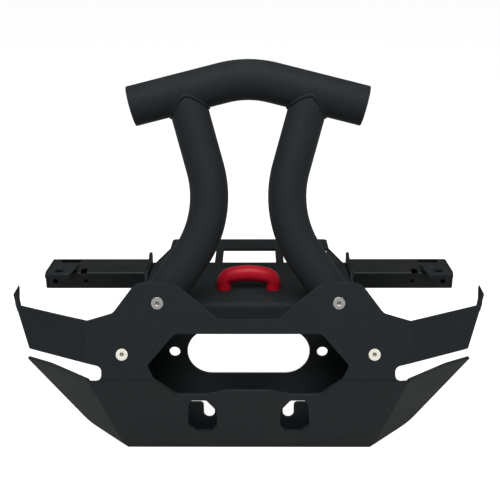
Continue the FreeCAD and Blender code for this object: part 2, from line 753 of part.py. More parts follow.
# Lower brace: flat plate between the side plates, under the fairlead plate, with two U-shaped notches
def skid_inside(level):
    """Distance behind the origin of the skid's inner face at a level below the main fold."""
    below = s.sheet * cosine(s.rake) + s.seat - level
    return (s.sheet + s.seat) * sine(s.rake) - fold_back + below * cosine(s.rake) / sine(s.rake)


def make_lower_brace():
    body = new_body("lower_brace")
    half = tray_half - s.seat
    notch_radius = s.brace_notch / 2
    outer = s.brace_notch_x + notch_radius
    inner = s.brace_notch_x - notch_radius
    top = foot_level + s.brace_height
    notch_floor = top - s.brace_notch_depth
    # The plate's lower front edge meets the skid's inner face
    reach = fold_back - (s.sheet + s.seat) * sine(s.rake)
    lowest = s.sheet * cosine(s.rake) + s.seat - reach * sine(s.rake) / cosine(s.rake)
    profile = new_sketch(body, "BraceProfile", FRONT_FRAME)
    outline(profile, both_sides([
        (inner, top, s.fold_radius),
        (inner, notch_floor, s.notch_round),
        (outer, notch_floor, s.notch_round),
        (outer, top, s.fold_radius),
        (half, top),
        (half, lowest + s.seat),
    ]))
    pad(body, profile, s.sheet, backwards=True)
    return body


# Side plate: from the fairlead plate back to the arm, and down to the skid's level
def make_side_plate():
    body = new_body("side_plate_right")
    profile = new_sketch(body, "SideProfile", side_frame(side_inner))
    rise = s.arm_top - s.tray_top
    ear_front = s.tray_rear - s.side_ear
    outline(profile, [
        (as_size(0), s.tray_top, s.tray_bend),
        (as_size(0), -s.side_shelf, s.fold_radius),
        (skid_inside(-s.side_shelf), -s.side_shelf),
        (skid_inside(foot_level), foot_level),
        (s.side_rear, foot_level, s.tray_bend),
        (s.tray_rear, s.side_heel, s.side_round),
        (s.tray_rear, s.side_tip, s.fold_radius),
        (ear_front, s.side_tip, s.fold_radius),
        (ear_front - s.fold_radius, s.arm_top, s.fold_radius),
        (s.arm_front - s.fold_radius, s.arm_top, s.fold_radius),
        (s.arm_front - s.fold_radius - rise, s.tray_top, s.fold_radius),
    ])
    lower_hole = foot_level + s.frame_hole_rise
    for level in (lower_hole, lower_hole + s.frame_hole_pitch):
        circle(profile, s.frame_hole_back, level, s.frame_hole / 2)
    pad(body, profile, s.sheet)
    return body


# Hoop: two bent legs behind the face plate, and a bent top bar
screw_run_x = s.screw_lower_x - s.screw_upper_x
screw_run_up = s.screw_upper_up - s.screw_lower_up
screw_run = Size(math.hypot(screw_run_x.value, screw_run_up.value),
                 "sqrt(%s ^ 2 + %s ^ 2)" % (screw_run_x.text, screw_run_up.text))
bar_slope = (s.bar_apex_up - s.bar_end_up) / s.bar_end_x
waist_up = s.screw_upper_up + (s.screw_upper_x - s.leg_waist_x) * screw_run_up / screw_run_x
splay_slope = sine(s.leg_splay) / cosine(s.leg_splay)
leg_top_x = (s.leg_waist_x + (s.bar_apex_up - waist_up) * splay_slope) / (1 + bar_slope * splay_slope)
leg_top_up = s.bar_apex_up - leg_top_x * bar_slope
tube_end_x = s.bar_end_x - s.cap_plate - s.seat
tube_end_up = s.bar_apex_up - tube_end_x * bar_slope
hoop_back = -hoop_plane.Rotation.multVec(UPWARD)
bar_along = hoop_plane.Rotation.multVec(vector(1, -bar_slope, 0)).normalize()


def make_leg():
    body = new_body("leg_right")
    pipe(body, "LegTube", hoop_plane, [
        (s.screw_lower_x + s.leg_tail * screw_run_x / screw_run,
         s.screw_lower_up - s.leg_tail * screw_run_up / screw_run),
        (s.leg_waist_x, waist_up, s.leg_bend),
        (leg_top_x, leg_top_up),
    ], leg_radius, s.tube_wall)
    apex = hoop_plane.multVec(vector(0, s.bar_apex_up, 0))
    bore(body, "Saddle", facing(apex, bar_along), bar_radius + s.seat, s.bar_end_x)
    for name, (x, up) in screw_places.items():
        front = face_plane.multVec(vector(x, up, -s.sheet))
        bore(body, "BossHole" + name.title(), facing(front, hoop_back), s.boss_diameter / 2 + s.seat,
             s.boss_length + s.seat)
    return body


def make_top_bar():
    body = new_body("top_bar")
    pipe(body, "BarTube", hoop_plane, [
        (-tube_end_x, tube_end_up),
        (as_size(0), s.bar_apex_up, s.bar_bend),
        (tube_end_x, tube_end_up),
    ], bar_radius, s.tube_wall)
    return body


def make_bar_cap():
    body = new_body("bar_cap_right")
    seat_point = hoop_plane.multVec(vector(tube_end_x, tube_end_up, 0)) + bar_along * float(s.seat)
    disc = new_sketch(body, "CapDisc", facing(seat_point, bar_along))
    circle(disc, as_size(0), as_size(0), bar_radius)
    plate = pad(body, disc, s.cap_plate)
    rim = seat_point + bar_along * float(s.cap_plate) + hoop_back * float(bar_radius)
    fillet(body, plate, [rim], s.cap_plate / 3)
    return body


def make_boss(name, side):
    label = "screw_boss_%s_%s" % (name, "right" if side > 0 else "left")
    body = new_body(label)
    x, up = screw_places[name]
    front = face_plane.multVec(vector(side * x, up, -(s.sheet + s.seat)))
    ring = new_sketch(body, "BossRing", facing(front, hoop_back))
    circle(ring, as_size(0), as_size(0), s.boss_diameter / 2)
    circle(ring, as_size(0), as_size(0), s.screw_shank / 2 + s.seat)
    pad(body, ring, s.boss_length)
    return body


HEXAGON_HALF_ANGLE = 30


def make_screw(name, side):
    label = "face_screw_%s_%s" % (name, "right" if side > 0 else "left")
    body = new_body(label)
    x, up = screw_places[name]
    head_plane = FreeCAD.Placement(face_plane.multVec(vector(side * x, up, 0)), face_plane.Rotation)
    across_head = plane(head_plane.Base, ACROSS, head_plane.Rotation.multVec(UPWARD))
    shank_radius = s.screw_shank / 2
    cone = (s.screw_head - s.screw_shank) / 2
    section = new_sketch(body, "ScrewSection", across_head)
    outline(section, [
        (as_size(0), as_size(0)),
        (s.screw_head / 2, as_size(0)),
        (shank_radius, -cone),
        (shank_radius, s.screw_chamfer - s.screw_length),
        (shank_radius - s.screw_chamfer, -s.screw_length),
        (as_size(0), -s.screw_length),
    ])
    doc.recompute()
    turned = body.newObject("PartDesign::Revolution", "ScrewTurned")
    turned.Profile = (section, [""])
    turned.ReferenceAxis = (section, ["V_Axis"])
    turned.Angle = 360
    body.Tip = turned
    socket = new_sketch(body, "ScrewSocket", head_plane)
    flat = s.screw_socket / 2
    corner = flat / cosine(as_size(HEXAGON_HALF_ANGLE))
    outline(socket, [
        (corner, as_size(0)),
        (corner / 2, flat),
        (-corner / 2, flat),
        (-corner, as_size(0)),
        (-corner / 2, -flat),
        (corner / 2, -flat),
    ])
    pocket(body, socket, s.socket_depth)
    return body


# Side arm: flat rectangular tube, closed by a plate at its outer end
arm_seat = side_outer + s.seat
arm_rear = s.arm_front + s.arm_depth
arm_end = s.arm_tip - s.cap_plate - s.seat


def tube_section(inset, radius):
    """Corners of the arm's section, set in from its outer faces."""
    return [
        (s.arm_front + inset, s.arm_top - s.arm_height + inset, radius),
        (arm_rear - inset, s.arm_top - s.arm_height + inset, radius),
        (arm_rear - inset, s.arm_top - inset, radius),
        (s.arm_front + inset, s.arm_top - inset, radius),
    ]


def make_arm():
    body = new_body("arm_right")
    section = new_sketch(body, "ArmSection", side_frame(arm_seat))
    outline(section, tube_section(as_size(0), s.arm_corner))
    outline(section, tube_section(s.arm_wall, s.arm_corner_inner))
    pad(body, section, arm_end - arm_seat)
    for name, x in (("Inner", s.arm_hole_in), ("Outer", s.arm_hole_out)):
        front = vector(x, s.arm_front - s.seat, s.arm_top - s.arm_hole_drop)
        bore(body, "FrontHole" + name, facing(front, BACK), s.arm_hole / 2, s.arm_wall + s.seat * 2)
    openings = new_sketch(body, "TopOpenings", level_frame(s.arm_top))
    oblong(openings, s.slot_middle, arm_rear - s.slot_margin, s.slot_length, s.slot_width)
    notch_outer = s.notch_inner + s.notch_width
    outline(openings, [
        (s.notch_inner, s.arm_front - s.arm_wall),
        (notch_outer, s.arm_front - s.arm_wall),
        (notch_outer, s.arm_front + s.notch_depth),
        (s.notch_inner, s.arm_front + s.notch_depth),
    ])
    pocket(body, openings, s.arm_corner)
    return body


def make_arm_cap():
    body = new_body("arm_cap_right")
    section = new_sketch(body, "ArmCapSection", side_frame(arm_end + s.seat))
    outline(section, tube_section(as_size(0), s.arm_corner))
    plate = pad(body, section, s.cap_plate)
    tip = vector(s.arm_tip, s.arm_front + s.arm_depth / 2, s.arm_top)
    fillet(body, plate, [tip], s.cap_plate / 3)
    return body


def make_arm_tab():
    body = new_body("arm_tab_right")
    top = s.arm_top + s.tab_lift
    rear = s.arm_front + s.tab_overlap
    front = rear - s.tab_reach
    plate = new_sketch(body, "TabPlate", level_frame(top))
    corner_radius = s.tab_plate
    outline(plate, [
        (s.tab_inner, rear, corner_radius),
        (s.tab_inner + s.tab_skew, front),
        (s.tab_inner + s.tab_skew + s.tab_width, front),
        (s.tab_inner + s.tab_width, rear, corner_radius),
    ])
    circle(plate, s.tab_hole_x, s.arm_front - s.tab_hole_front, s.tab_hole / 2)
    pad(body, plate, s.tab_plate, backwards=True)
    lip = new_sketch(body, "TabLip", level_frame(top))
    outline(lip, [
        (s.tab_inner + s.tab_skew, front),
        (s.tab_inner + s.tab_skew + s.tab_width, front),
        (s.tab_inner + s.tab_skew + s.tab_width, front + s.tab_plate),
        (s.tab_inner + s.tab_skew, front + s.tab_plate),
    ])
    folded = pad(body, lip, s.tab_lip, backwards=True)
    lip_edge = vector(s.tab_inner + s.tab_skew + s.tab_width / 2, front, top)
    fillet(body, folded, [lip_edge], s.tab_plate / 2)
    # Web between the tab and the arm, along the tab's inner side
    web = new_sketch(body, "TabWeb", side_frame(s.tab_inner + s.tab_skew + s.tab_plate))
    web_top = top - s.tab_plate / 2
    outline(web, [
        (s.arm_front + s.arm_corner, s.arm_top + s.seat),
        (rear - corner_radius, s.arm_top + s.seat),
        (rear - corner_radius, web_top),
        (s.arm_front - s.tab_hole_front, web_top),
    ])
    pad(body, web, s.tab_plate, backwards=True)
    return body


# Tow loop: solid round bar, bent and welded to the tray
def make_tow_loop():
    body = new_body("tow_loop")
    half_span = s.loop_span / 2
    rise = (1 - cosine(s.loop_slope)) / cosine(s.loop_slope) * s.loop_bow
    apex_up = s.tray_top + s.loop_height + rise
    corner_up = apex_up - half_span * sine(s.loop_slope) / cosine(s.loop_slope)
    foot_up = s.tray_top + s.seat
    frame = FreeCAD.Placement(vector(0, s.loop_back, 0), FRONT_FRAME.Rotation)
    pipe(body, "LoopBar", frame, [
        (-half_span, foot_up),
        (-half_span, corner_up, s.loop_corner),
        (as_size(0), apex_up, s.loop_bow),
        (half_span, corner_up, s.loop_corner),
        (half_span, foot_up),
    ], s.loop_bar / 2)
    return body


# Rear frame: cross bar behind the tray, two struts and two braces on edge
rear_level = s.tray_top - s.sheet - s.seat
rear_back = s.rear_front + s.rear_depth
rear_half = tray_half - s.rear_inset


def make_rear_bar():
    body = new_body("rear_bar")
    plate = new_sketch(body, "BarPlate", level_frame(rear_level))
    outline(plate, [
        (-rear_half, s.rear_front),
        (rear_half, s.rear_front),
        (rear_half, rear_back, s.rear_round),
        (-rear_half, rear_back, s.rear_round),
    ])
    pad(body, plate, s.rear_plate, backwards=True)
    return body


def make_rear_strut():
    body = new_body("rear_strut_right")
    plate = new_sketch(body, "StrutPlate", level_frame(rear_level))
    strut_front = s.tray_rear - s.strut_lap
    strut_outer = s.strut_inner + s.strut_width
    outline(plate, [
        (s.strut_inner, strut_front),
        (strut_outer, strut_front),
        (strut_outer, s.rear_front - s.seat),
        (s.strut_inner, s.rear_front - s.seat),
    ])
    pad(body, plate, s.rear_plate, backwards=True)
    return body


def make_rear_brace():
    body = new_body("rear_brace_right")
    plate = new_sketch(body, "BracePlate", level_frame(rear_level))
    wall_x = side_inner - s.seat
    wall_back = s.tray_rear - s.side_ear
    outline(plate, [
        (wall_x, wall_back),
        (wall_x, wall_back + s.edge_foot),
        (rear_half, s.rear_front - s.seat),
        (rear_half - s.edge_plate, s.rear_front - s.seat),
    ])
    pad(body, plate, s.edge_height, backwards=True)
    return body


PAIRED = [
    (make_side_plate, "side_plate_left"),
    (make_leg, "leg_left"),
    (make_bar_cap, "bar_cap_left"),
    (make_arm, "arm_left"),
    (make_arm_cap, "arm_cap_left"),
    (make_arm_tab, "arm_tab_left"),
    (make_rear_strut, "rear_strut_left"),
    (make_rear_brace, "rear_brace_left"),
]

pieces = [
    make_face_plate(),
    make_fairlead_tray(),
    make_lower_brace(),
    make_top_bar(),
    make_tow_loop(),
    make_rear_bar(),
]
for make_right, left_label in PAIRED:
    right_piece = make_right()
    pieces += [right_piece, mirror_image(right_piece, left_label)]
for place in screw_places:
    for side in (1, -1):
        pieces += [make_boss(place, side), make_screw(place, side)]


def check_pieces():
    """Stop with a plain message if any object failed or any piece is not a sound solid."""
    doc.recompute()
    for item in doc.Objects:
        for state in item.State:
            if state in ("Invalid", "Error"):
                raise RuntimeError("%s is %s" % (item.Label, state))
    for piece in pieces:
        if piece.Shape.isNull() or not piece.Shape.isValid():
            raise RuntimeError("%s has no sound shape" % piece.Label)
        if len(piece.Shape.Solids) != 1:
            raise RuntimeError("%s has %d solids" % (piece.Label, len(piece.Shape.Solids)))


def write_pieces():
    os.makedirs("parts", exist_ok=True)
    for piece in pieces:
        piece.Shape.exportStep("parts/%s.step" % piece.Label)


check_pieces()
write_pieces()
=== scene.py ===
"""Off-road front bumper: powder-coated sheets and tubes, weld beads and bright screws.

Metres, +Z up, +Y towards the vehicle, +X to the right seen from the front. The origin is midway
between the two fairlead bolt holes, on the front face of the fairlead plate.
"""
import math

import bpy
from bpy.props import FloatProperty, FloatVectorProperty, IntProperty, PointerProperty
from bpy.types import Operator, Panel, PropertyGroup
from mathutils import Euler, Matrix, Vector


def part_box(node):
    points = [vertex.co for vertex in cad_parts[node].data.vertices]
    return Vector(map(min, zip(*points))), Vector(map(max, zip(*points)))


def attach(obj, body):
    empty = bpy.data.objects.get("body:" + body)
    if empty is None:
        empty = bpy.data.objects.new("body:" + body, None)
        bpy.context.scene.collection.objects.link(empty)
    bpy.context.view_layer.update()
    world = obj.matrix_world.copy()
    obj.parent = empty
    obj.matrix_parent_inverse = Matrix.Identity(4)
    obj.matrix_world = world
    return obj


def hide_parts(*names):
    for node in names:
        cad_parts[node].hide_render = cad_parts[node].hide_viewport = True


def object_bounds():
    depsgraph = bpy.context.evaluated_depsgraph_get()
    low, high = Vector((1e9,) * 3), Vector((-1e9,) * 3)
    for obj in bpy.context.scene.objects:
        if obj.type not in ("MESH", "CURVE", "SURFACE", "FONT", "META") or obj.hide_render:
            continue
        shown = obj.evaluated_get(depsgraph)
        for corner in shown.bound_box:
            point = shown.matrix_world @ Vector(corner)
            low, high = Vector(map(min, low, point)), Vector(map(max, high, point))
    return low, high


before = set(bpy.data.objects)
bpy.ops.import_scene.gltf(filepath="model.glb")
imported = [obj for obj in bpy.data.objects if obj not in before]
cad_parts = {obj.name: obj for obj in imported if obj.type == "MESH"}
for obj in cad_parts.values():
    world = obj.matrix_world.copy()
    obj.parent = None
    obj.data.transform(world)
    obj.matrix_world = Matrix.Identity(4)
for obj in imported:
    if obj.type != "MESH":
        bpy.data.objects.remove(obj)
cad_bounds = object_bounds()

bl_info = {
    "name": "Front Bumper Finish",
    "version": (1, 0, 0),
    "blender": (4, 5, 0),
    "location": "3D View > Sidebar > Bumper",
    "description": "Coats, rounded edges, weld beads, screws and a studio for the front bumper",
    "category": "Object",
}

SIDES = {"right": 1, "left": -1}
FINISH = "_finish"
FLOOR_LEVEL = cad_bounds[0][2]
WIDEST = cad_bounds[1][0]


# Settings

class CoatSettings(PropertyGroup):
    """Colours and texture of the powder coats."""

    black: FloatVectorProperty(
        name="Black coat", description="Colour of the frame's powder coat",
        default=(0.0138, 0.0165, 0.018), min=0, max=1, subtype="COLOR", size=3)
    # Colour of the black coat's lighter edges: partly rubbed, thin coat, partly painted highlight
    # along the edges
    black_worn_and_lit: FloatVectorProperty(
        name="Rubbed black", description="Colour of the black coat where its edges are rubbed",
        default=(0.032, 0.035, 0.037), min=0, max=1, subtype="COLOR", size=3)
    black_roughness: FloatProperty(
        name="Black roughness", description="Roughness of the black coat",
        default=0.66, min=0, max=1, subtype="FACTOR")
    black_specular: FloatProperty(
        name="Black specular", description="Strength of the black coat's highlights",
        default=0.1, min=0, max=1, subtype="FACTOR")
    # Darker tone of the arms' smoother coat: partly the coat's own colour, partly painted shade
    # standing in for the arms' shaded fronts
    smooth_shade_tone: FloatProperty(
        name="Smooth coat's tone",
        description="Share of the black coat's colour that the arms' smoother coat has",
        default=0.45, min=0, max=1, subtype="FACTOR")
    # Colour of the smoother coat's lighter edges: partly rubbed coat, partly painted highlight
    smooth_worn_and_lit: FloatVectorProperty(
        name="Rubbed smooth coat", description="Colour of the smoother coat's rubbed edges",
        default=(0.02, 0.022, 0.024), min=0, max=1, subtype="COLOR", size=3)
    smooth_roughness: FloatProperty(
        name="Smooth coat's roughness", description="Roughness of the arms' smoother coat",
        default=0.5, min=0, max=1, subtype="FACTOR")
    red: FloatVectorProperty(
        name="Red coat", description="Colour of the tow loop's powder coat",
        default=(0.47, 0.006, 0.02), min=0, max=1, subtype="COLOR", size=3)
    # Colour of the red coat's lighter edges: partly rubbed coat, partly painted highlight
    red_worn_and_lit: FloatVectorProperty(
        name="Rubbed red", description="Colour of the red coat where its edges are rubbed",
        default=(0.55, 0.04, 0.05), min=0, max=1, subtype="COLOR", size=3)
    red_roughness: FloatProperty(
        name="Red roughness", description="Roughness of the red coat",
        default=0.42, min=0, max=1, subtype="FACTOR")
    smooth_specular: FloatProperty(
        name="Smooth specular", description="Strength of the smooth and red coats' highlights",
        default=0.2, min=0, max=1, subtype="FACTOR")
    grain_size: FloatProperty(
        name="Grain size", description="Size of one grain of the coat's fine texture",
        default=0.0008, min=0.0002, max=0.01, unit="LENGTH", precision=5)
    peel_size: FloatProperty(
        name="Peel size", description="Size of the slow waves in the coat",
        default=0.004, min=0.001, max=0.05, unit="LENGTH", precision=5)
    peel_share: FloatProperty(
        name="Peel share", description="Share of the coat's relief that the slow waves have",
        default=0.35, min=0, max=1, subtype="FACTOR")
    relief: FloatProperty(
        name="Relief", description="Height of the coat's texture",
        default=0.00012, min=0, max=0.001, unit="LENGTH", precision=6)
    relief_strength: FloatProperty(
        name="Relief's strength", description="How strongly the texture turns the surface",
        default=0.7, min=0, max=1, subtype="FACTOR")
    # Strength and width of the lighter edges: partly rubbed, thin coat, partly painted highlight
    # along the edges
    wear_and_highlight: FloatProperty(
        name="Wear", description="How strongly the edges are rubbed",
        default=0.35, min=0, max=1, subtype="FACTOR")
    wear_and_highlight_width: FloatProperty(
        name="Worn edge", description="Width of the thinner, rubbed coat along the edges",
        default=0.0009, min=0.0002, max=0.005, unit="LENGTH", precision=5)
    dust: FloatProperty(
        name="Dust", description="Amount of dust on faces that look up",
        default=0.02, min=0, max=1, subtype="FACTOR")


class SteelSettings(PropertyGroup):
    """Bare and plated steel of the screws and their bosses."""

    plated: FloatVectorProperty(
        name="Screw steel", description="Colour of the plated screws",
        default=(0.72, 0.71, 0.68), min=0, max=1, subtype="COLOR", size=3)
    plated_roughness: FloatProperty(
        name="Screw roughness", description="Roughness of the plated screws",
        default=0.34, min=0, max=1, subtype="FACTOR")
    pale: FloatVectorProperty(
        name="Pale screws", description="Colour of the lower screws' pale plating",
        default=(0.88, 0.86, 0.76), min=0, max=1, subtype="COLOR", size=3)
    pale_roughness: FloatProperty(
        name="Pale screws' roughness", description="Roughness of the lower screws",
        default=0.4, min=0, max=1, subtype="FACTOR")
    pale_metal: FloatProperty(
        name="Pale screws' metal", description="How metallic the pale plating looks",
        default=0.15, min=0, max=1, subtype="FACTOR")
    bare: FloatVectorProperty(
        name="Boss steel", description="Colour of the threaded bosses",
        default=(0.42, 0.42, 0.41), min=0, max=1, subtype="COLOR", size=3)
    bare_roughness: FloatProperty(
        name="Boss roughness", description="Roughness of the threaded bosses",
        default=0.45, min=0, max=1, subtype="FACTOR")
    dust: FloatProperty(
        name="Dust", description="Amount of dust on faces that look up",
        default=0.03, min=0, max=1, subtype="FACTOR")
    recess: FloatProperty(
        name="Recess", description="Reach of the shade in sockets and other narrow recesses",
        default=0.003, min=0.0005, max=0.02, unit="LENGTH", precision=5)


class EdgeSettings(PropertyGroup):
    """How far the cut edges are rounded by deburring and coating."""

    sheet: FloatProperty(
        name="Sheet edges", description="Width of the rounding on the cut sheets",
        default=0.0006, min=0.0001, max=0.001, unit="LENGTH", precision=5)
    tube: FloatProperty(
        name="Tube edges", description="Width of the rounding on tubes, caps and tabs",
        default=0.0005, min=0.0001, max=0.001, unit="LENGTH", precision=5)
    screw: FloatProperty(
        name="Screw edges", description="Width of the rounding on the screw heads",
        default=0.00025, min=0.00005, max=0.001, unit="LENGTH", precision=5)
    steps: IntProperty(
        name="Steps", description="Faces across one rounded edge", default=3, min=1, max=6)


class WeldSettings(PropertyGroup):
    """Sizes of the weld beads."""

    saddle: FloatProperty(
        name="Saddle bead", description="Radius of the beads between legs and top bar",
        default=0.002, min=0.0005, max=0.006, unit="LENGTH", precision=5)
    arm: FloatProperty(
        name="Arm bead", description="Radius of the beads between arms and side plates",
        default=0.0016, min=0.0005, max=0.006, unit="LENGTH", precision=5)
    stitch: FloatProperty(
        name="Stitch bead", description="Radius of the short beads on the sheets' inner corners",
        default=0.0017, min=0.0005, max=0.006, unit="LENGTH", precision=5)
    stitch_length: FloatProperty(
        name="Stitch length", description="Length of one short bead",
        default=0.022, min=0.005, max=0.1, unit="LENGTH", precision=4)
    pitch: FloatProperty(
        name="Ripple pitch", description="Distance between two ripples of a bead",
        default=0.0021, min=0.001, max=0.01, unit="LENGTH", precision=5)
    ripple: FloatProperty(
        name="Ripple depth", description="Share of the bead's radius lost between two ripples",
        default=0.12, min=0, max=0.5, subtype="FACTOR")


class StageSettings(PropertyGroup):
    """Floor, sky, lamps and camera."""

    floor: FloatVectorProperty(
        name="Floor", description="Colour of the floor",
        default=(0.5, 0.5, 0.5), min=0, max=1, subtype="COLOR", size=3)
    floor_size: FloatProperty(
        name="Floor size", description="Length of the floor's sides",
        default=60.0, min=1, unit="LENGTH")
    floor_glow: FloatProperty(
        name="Floor glow", description="White that the floor adds where the camera sees it",
        default=0.93, min=0, max=1, subtype="FACTOR")
    mirrored_glow: FloatProperty(
        name="Mirrored glow", description="White that the floor adds in reflections",
        default=0.65, min=0, max=1, subtype="FACTOR")
    sky: FloatProperty(
        name="Sky", description="Strength of the even light from all round", default=0.1, min=0)
    mirrored_sky: FloatProperty(
        name="Mirrored sky", description="Strength of the sky in reflections", default=0.2, min=0)
    key: FloatProperty(
        name="Key lamp", description="Power of the large lamp above the front",
        default=40.0, min=0, unit="POWER")
    key_place: FloatVectorProperty(
        name="Key lamp's place", description="Place of the large lamp above the front",
        default=(-0.06, -0.8, 1.6), subtype="TRANSLATION", size=3, unit="LENGTH")
    key_size: FloatVectorProperty(
        name="Key lamp's size", description="Width and depth of the large lamp",
        default=(1.6, 1.2), min=0.01, size=2, unit="LENGTH")
    fill: FloatProperty(
        name="Fill lamp", description="Power of the lamp on the right",
        default=2.0, min=0, unit="POWER")
    fill_place: FloatVectorProperty(
        name="Fill lamp's place", description="Place of the lamp on the right",
        default=(1.5, -0.6, 0.35), subtype="TRANSLATION", size=3, unit="LENGTH")
    fill_size: FloatVectorProperty(
        name="Fill lamp's size", description="Width and depth of the lamp on the right",
        default=(0.8, 0.8), min=0.01, size=2, unit="LENGTH")
    lit_point: FloatVectorProperty(
        name="Lit point", description="Point that both lamps face",
        default=(0.0, 0.03, 0.06), subtype="TRANSLATION", size=3, unit="LENGTH")
    camera_place: FloatVectorProperty(
        name="Camera", description="Place of the camera",
        default=(0.00719, -0.7615, 0.38671), subtype="TRANSLATION", size=3, unit="LENGTH",
        precision=5)
    camera_turn: FloatProperty(
        name="Turn", description="Turn of the camera to the left",
        default=math.radians(0.406), subtype="ANGLE", precision=5)
    camera_drop: FloatProperty(
        name="Drop", description="How far the camera looks down",
        default=math.radians(19.84), subtype="ANGLE", precision=5)
    camera_lean: FloatProperty(
        name="Lean", description="Turn of the camera about its own axis, to the right",
        default=math.radians(0.172), subtype="ANGLE", precision=5)
    focal_length: FloatProperty(
        name="Focal length", description="Focal length in millimetres, for a picture 36 mm wide",
        default=59.04, min=1)


def settings(name):
    return getattr(bpy.context.scene, "bumper_" + name)


# Working on pieces

MERGE_DISTANCE = 1e-5

# Turns between faces, in degrees: those joined as flat, those rounded or kept sharp, and those
# that stay sharp on bent tubes and on the bar's caps. The face plate's folds turn in small steps.
FLAT_TURN = 0.2
FACE_PLATE_TURN = 0.02
SHARP_TURN = 35
TUBE_TURN = 40
CAP_TURN = 25


def choose(piece):
    """Make a piece the only one selected, and the active one."""
    bpy.ops.object.select_all(action="DESELECT")
    piece.select_set(True)
    bpy.context.view_layer.objects.active = piece


def in_edit_mode(*steps):
    bpy.ops.object.mode_set(mode="EDIT")
    for step in steps:
        step()
    bpy.ops.object.mode_set(mode="OBJECT")


def merge_doubles():
    bpy.ops.mesh.select_all(action="SELECT")
    bpy.ops.mesh.remove_doubles(threshold=MERGE_DISTANCE)


def join_flat_faces(turn):
    bpy.ops.mesh.dissolve_limited(angle_limit=math.radians(turn))


def merged_copy(node, name):
    """A copy of a CAD node's mesh, with the corners of its loose triangles merged."""
    piece = bpy.data.objects.new(name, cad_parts[node].data.copy())
    piece.data.name = name
    bpy.context.scene.collection.objects.link(piece)
    choose(piece)
    bpy.ops.mesh.customdata_custom_splitnormals_clear()
    in_edit_mode(merge_doubles)
    return piece


def round_edges(piece, width, flat):
    """Round the sharp edges; faces that turn by less than the flat turn are joined first."""
    choose(piece)
    in_edit_mode(merge_doubles, lambda: join_flat_faces(flat))
    bpy.ops.object.shade_smooth_by_angle(angle=math.radians(SHARP_TURN))
    bpy.ops.object.modifier_add(type="BEVEL")
    bevel = piece.modifiers[-1]
    bevel.width = width
    bevel.segments = settings("edges").steps
    bevel.limit_method = "ANGLE"
    bevel.angle_limit = math.radians(SHARP_TURN)
    bevel.use_clamp_overlap = False
    bevel.loop_slide = False
    bpy.ops.object.modifier_apply(modifier=bevel.name)
    bpy.ops.object.modifier_add(type="WEIGHTED_NORMAL")
    weighted = piece.modifiers[-1]
    weighted.keep_sharp = True
    bpy.ops.object.modifier_apply(modifier=weighted.name)


def finish_piece(piece, slot, finish=None):
    """Give a piece its finish and attach it to the root body."""
    piece.data.materials.clear()
    piece.data.materials.append(bpy.data.materials[(finish or slot) + FINISH])
    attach(piece, "root")


def dress(node, width, slot="black_coat", finish=None, flat=FLAT_TURN, reshape=None):
    """A CAD node's shape with rounded edges and its finish, in place of the node."""
    piece = merged_copy(node, node + "_dressed")
    round_edges(piece, width, flat)
    if reshape:
        for vertex in piece.data.vertices:
            reshape(vertex.co)
    finish_piece(piece, slot, finish)
    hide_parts(node)


def dress_smooth(node, slot="black_coat", turn=TUBE_TURN):
    """A bent tube or bar with its finish, smooth along its length."""
    piece = merged_copy(node, node + "_dressed")
    choose(piece)
    bpy.ops.object.shade_smooth_by_angle(angle=math.radians(turn))
    finish_piece(piece, slot)
    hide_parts(node)
    return piece


# Weld beads

SEAM_TURN = 30
BEAD_TURN = 50
STEPS_PER_RIPPLE = 5
FEWEST_STEPS = 6
END_THICKNESS = 0.4


def sharp_loops(node, reaches):
    """Closed loops of a node's sharp edges whose points all pass a test, the longest first."""
    guide = merged_copy(node, node + "_guide")

    def select_sharp():
        bpy.ops.mesh.select_mode(type="EDGE")
        bpy.ops.mesh.select_all(action="DESELECT")
        bpy.ops.mesh.edges_select_sharp(sharpness=math.radians(SEAM_TURN))

    in_edit_mode(select_sharp)
    mesh = guide.data
    neighbours = {}
    for edge in mesh.edges:
        first, second = edge.vertices
        if edge.select and reaches(mesh.vertices[first].co) and reaches(mesh.vertices[second].co):
            neighbours.setdefault(first, []).append(second)
            neighbours.setdefault(second, []).append(first)
    loops = []
    unused = set(neighbours)
    while unused:
        corner = min(unused)
        walk = []
        while corner is not None:
            walk.append(corner)
            unused.discard(corner)
            corner = next((n for n in neighbours[corner] if n in unused), None)
        loops.append([mesh.vertices[index].co.copy() for index in walk])
    bpy.data.objects.remove(guide)
    return sorted(loops, key=path_length, reverse=True)


def path_length(points):
    return sum((b - a).length for a, b in zip(points, points[1:]))


def spaced(points, closed, step):
    """The same path with its points an even step apart."""
    route = points + [points[0]] if closed else points
    length = path_length(route)
    count = max(FEWEST_STEPS, round(length / step))
    found = []
    walked = 0.0
    part = 0
    for number in range(count if closed else count + 1):
        mark = length * number / count
        stretch = (route[part + 1] - route[part]).length
        while part < len(route) - 2 and walked + stretch < mark:
            walked += stretch
            part += 1
            stretch = (route[part + 1] - route[part]).length
        share = (mark - walked) / stretch if stretch else 0.0
        found.append(route[part].lerp(route[part + 1], min(1.0, share)))
    return found


